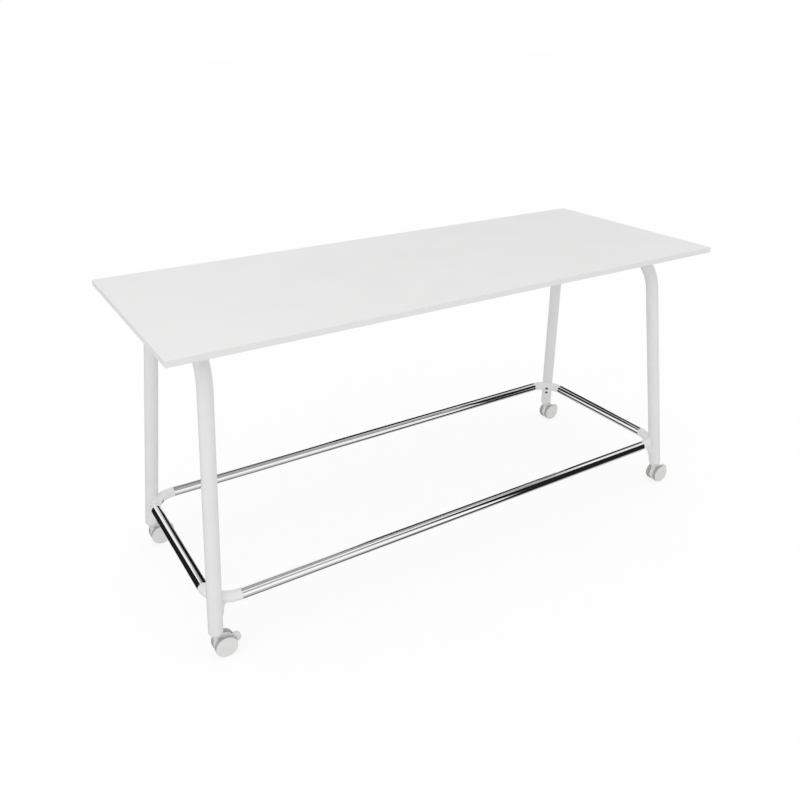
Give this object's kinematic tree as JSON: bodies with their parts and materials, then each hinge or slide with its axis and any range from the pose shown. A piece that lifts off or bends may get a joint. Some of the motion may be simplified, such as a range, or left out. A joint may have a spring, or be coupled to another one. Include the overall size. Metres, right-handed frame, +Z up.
{
  "type": "standing meeting table",
  "caption": "Standing-height meeting table: a white board on leaning tube end frames, with a chrome footrest ring and braked twin-wheel castors.",
  "frame": {"origin": "on the floor, below the middle of the top", "axes": "+X along the table's length, +Y across it to the rear edge, +Z up"},
  "size_m": [2.027, 0.78, 1],
  "materials": {
    "top_laminate": "matt white melamine face on an 18 mm board",
    "edge_band": "white edge banding",
    "frame_paint": "white powder coat on steel tube",
    "rail_paint": "white powder coat on steel section",
    "zinc_steel": "bright zinc plating",
    "cap_plastic": "black moulded plastic",
    "chrome_tube": "polished chrome",
    "bracket_cast": "white powder coat on a casting",
    "dark_steel": "blackened socket screws",
    "socket_plastic": "white moulded plastic",
    "castor_plastic": "pale warm grey moulded nylon",
    "tread_rubber": "mid grey soft tread"
  },
  "bodies": {
    "table": {"top_board": "top_laminate", "edge_band_front": "edge_band", "edge_band_rear": "edge_band", "edge_band_left": "edge_band", "edge_band_right": "edge_band", "end_frame_left": "frame_paint", "mount_plates_left": "zinc_steel", "end_frame_right": "frame_paint", "mount_plates_right": "zinc_steel", "under_rail_front": "rail_paint", "under_rail_rear": "rail_paint", "rail_end_caps": "cap_plastic", "top_screws": "zinc_steel", "rail_screws": "zinc_steel", "footrest_front": "chrome_tube", "footrest_rear": "chrome_tube", "footrest_left": "chrome_tube", "footrest_right": "chrome_tube", "corner_bracket_fl": "bracket_cast", "corner_bracket_fr": "bracket_cast", "corner_bracket_rl": "bracket_cast", "corner_bracket_rr": "bracket_cast", "bracket_bolts": "dark_steel", "leg_sleeves": "zinc_steel", "leg_socket_fl": "socket_plastic", "leg_socket_fr": "socket_plastic", "leg_socket_rl": "socket_plastic", "leg_socket_rr": "socket_plastic", "castor_fl_stem": "zinc_steel", "castor_fr_stem": "zinc_steel", "castor_rl_stem": "zinc_steel", "castor_rr_stem": "zinc_steel"},
    "castor_fl": {"castor_fl_body": "castor_plastic", "castor_fl_axle": "zinc_steel"},
    "wheel_fl_a": {"castor_fl_wheel_a": "castor_plastic", "castor_fl_tyre_a": "tread_rubber"},
    "wheel_fl_b": {"castor_fl_wheel_b": "castor_plastic", "castor_fl_tyre_b": "tread_rubber"},
    "pedal_fl": {"castor_fl_pedal": "castor_plastic"},
    "castor_fr": {"castor_fr_body": "castor_plastic", "castor_fr_axle": "zinc_steel"},
    "wheel_fr_a": {"castor_fr_wheel_a": "castor_plastic", "castor_fr_tyre_a": "tread_rubber"},
    "wheel_fr_b": {"castor_fr_wheel_b": "castor_plastic", "castor_fr_tyre_b": "tread_rubber"},
    "pedal_fr": {"castor_fr_pedal": "castor_plastic"},
    "castor_rl": {"castor_rl_body": "castor_plastic", "castor_rl_axle": "zinc_steel"},
    "wheel_rl_a": {"castor_rl_wheel_a": "castor_plastic", "castor_rl_tyre_a": "tread_rubber"},
    "wheel_rl_b": {"castor_rl_wheel_b": "castor_plastic", "castor_rl_tyre_b": "tread_rubber"},
    "pedal_rl": {"castor_rl_pedal": "castor_plastic"},
    "castor_rr": {"castor_rr_body": "castor_plastic", "castor_rr_axle": "zinc_steel"},
    "wheel_rr_a": {"castor_rr_wheel_a": "castor_plastic", "castor_rr_tyre_a": "tread_rubber"},
    "wheel_rr_b": {"castor_rr_wheel_b": "castor_plastic", "castor_rr_tyre_b": "tread_rubber"},
    "pedal_rr": {"castor_rr_pedal": "castor_plastic"}
  },
  "joints": [
    {"name": "castor_fl_swivel", "type": "hinge", "parent": "table", "child": "castor_fl", "pos_m": [-0.95004, -0.33704, 0.0707], "axis": [0, 0, 1], "continuous": true},
    {"name": "wheel_fl_a_roll", "type": "hinge", "parent": "castor_fl", "child": "wheel_fl_a", "pos_m": [-0.92804, -0.33704, 0.035], "axis": [0, 1, 0], "continuous": true},
    {"name": "wheel_fl_b_roll", "type": "hinge", "parent": "castor_fl", "child": "wheel_fl_b", "pos_m": [-0.92804, -0.33704, 0.035], "axis": [0, 1, 0], "continuous": true},
    {"name": "brake_fl", "type": "hinge", "parent": "castor_fl", "child": "pedal_fl", "pos_m": [-0.91254, -0.33704, 0.0535], "axis": [0, 1, 0], "range_deg": [0, 10]},
    {"name": "castor_fr_swivel", "type": "hinge", "parent": "table", "child": "castor_fr", "pos_m": [0.95004, -0.33704, 0.0707], "axis": [0, 0, 1], "continuous": true},
    {"name": "wheel_fr_a_roll", "type": "hinge", "parent": "castor_fr", "child": "wheel_fr_a", "pos_m": [0.97204, -0.33704, 0.035], "axis": [0, 1, 0], "continuous": true},
    {"name": "wheel_fr_b_roll", "type": "hinge", "parent": "castor_fr", "child": "wheel_fr_b", "pos_m": [0.97204, -0.33704, 0.035], "axis": [0, 1, 0], "continuous": true},
    {"name": "brake_fr", "type": "hinge", "parent": "castor_fr", "child": "pedal_fr", "pos_m": [0.98754, -0.33704, 0.0535], "axis": [0, 1, 0], "range_deg": [0, 10]},
    {"name": "castor_rl_swivel", "type": "hinge", "parent": "table", "child": "castor_rl", "pos_m": [-0.95004, 0.33704, 0.0707], "axis": [0, 0, 1], "continuous": true},
    {"name": "wheel_rl_a_roll", "type": "hinge", "parent": "castor_rl", "child": "wheel_rl_a", "pos_m": [-0.92804, 0.33704, 0.035], "axis": [0, 1, 0], "continuous": true},
    {"name": "wheel_rl_b_roll", "type": "hinge", "parent": "castor_rl", "child": "wheel_rl_b", "pos_m": [-0.92804, 0.33704, 0.035], "axis": [0, 1, 0], "continuous": true},
    {"name": "brake_rl", "type": "hinge", "parent": "castor_rl", "child": "pedal_rl", "pos_m": [-0.91254, 0.33704, 0.0535], "axis": [0, 1, 0], "range_deg": [0, 10]},
    {"name": "castor_rr_swivel", "type": "hinge", "parent": "table", "child": "castor_rr", "pos_m": [0.95004, 0.33704, 0.0707], "axis": [0, 0, 1], "continuous": true},
    {"name": "wheel_rr_a_roll", "type": "hinge", "parent": "castor_rr", "child": "wheel_rr_a", "pos_m": [0.97204, 0.33704, 0.035], "axis": [0, 1, 0], "continuous": true},
    {"name": "wheel_rr_b_roll", "type": "hinge", "parent": "castor_rr", "child": "wheel_rr_b", "pos_m": [0.97204, 0.33704, 0.035], "axis": [0, 1, 0], "continuous": true},
    {"name": "brake_rr", "type": "hinge", "parent": "castor_rr", "child": "pedal_rr", "pos_m": [0.98754, 0.33704, 0.0535], "axis": [0, 1, 0], "range_deg": [0, 10]}
  ]
}
